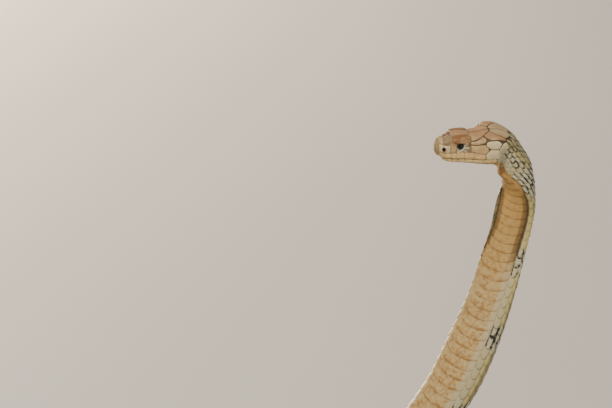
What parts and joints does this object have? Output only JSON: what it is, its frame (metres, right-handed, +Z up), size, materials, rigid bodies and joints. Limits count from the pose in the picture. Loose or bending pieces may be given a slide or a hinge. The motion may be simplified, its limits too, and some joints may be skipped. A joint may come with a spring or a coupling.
{
  "type": "king cobra model",
  "caption": "Still, life-size king cobra reared off a loose coil, with its neck narrowed and its head held level, as a museum shows it.",
  "frame": {"origin": "middle of the bounding box, on the floor that the belly rests on", "axes": "+Z up; the head points towards -X, turned about ten degrees towards -Y, and its left side faces -Y"},
  "size_m": [0.9989, 0.768, 0.7832],
  "materials": {
    "head_skin": "smooth satin head shields, tan with brown over the eyes and pale cheeks",
    "jaw_skin": "smooth satin, pale cream yellow",
    "eye": "clear wet gloss over a dark pupil and a bronze iris",
    "body_skin": "satin overlapping scales, olive cream with black edged bands, ochre belly",
    "tail_skin": "satin overlapping scales, darker olive"
  },
  "bodies": {
    "root": {"head": "head_skin", "lower_jaw": "jaw_skin", "eye_left": "eye", "eye_right": "eye", "neck": "body_skin", "hood": "body_skin", "forebody_upper": "body_skin", "forebody_lower": "body_skin", "forebody_foot": "body_skin", "forebody_heel": "body_skin", "midbody_1": "body_skin", "midbody_2": "body_skin", "midbody_3": "body_skin", "midbody_4": "body_skin", "hindbody_1": "body_skin", "hindbody_2": "body_skin", "hindbody_3": "body_skin", "tail_base": "tail_skin", "tail_middle": "tail_skin", "tail_tip": "tail_skin"}
  },
  "joints": []
}
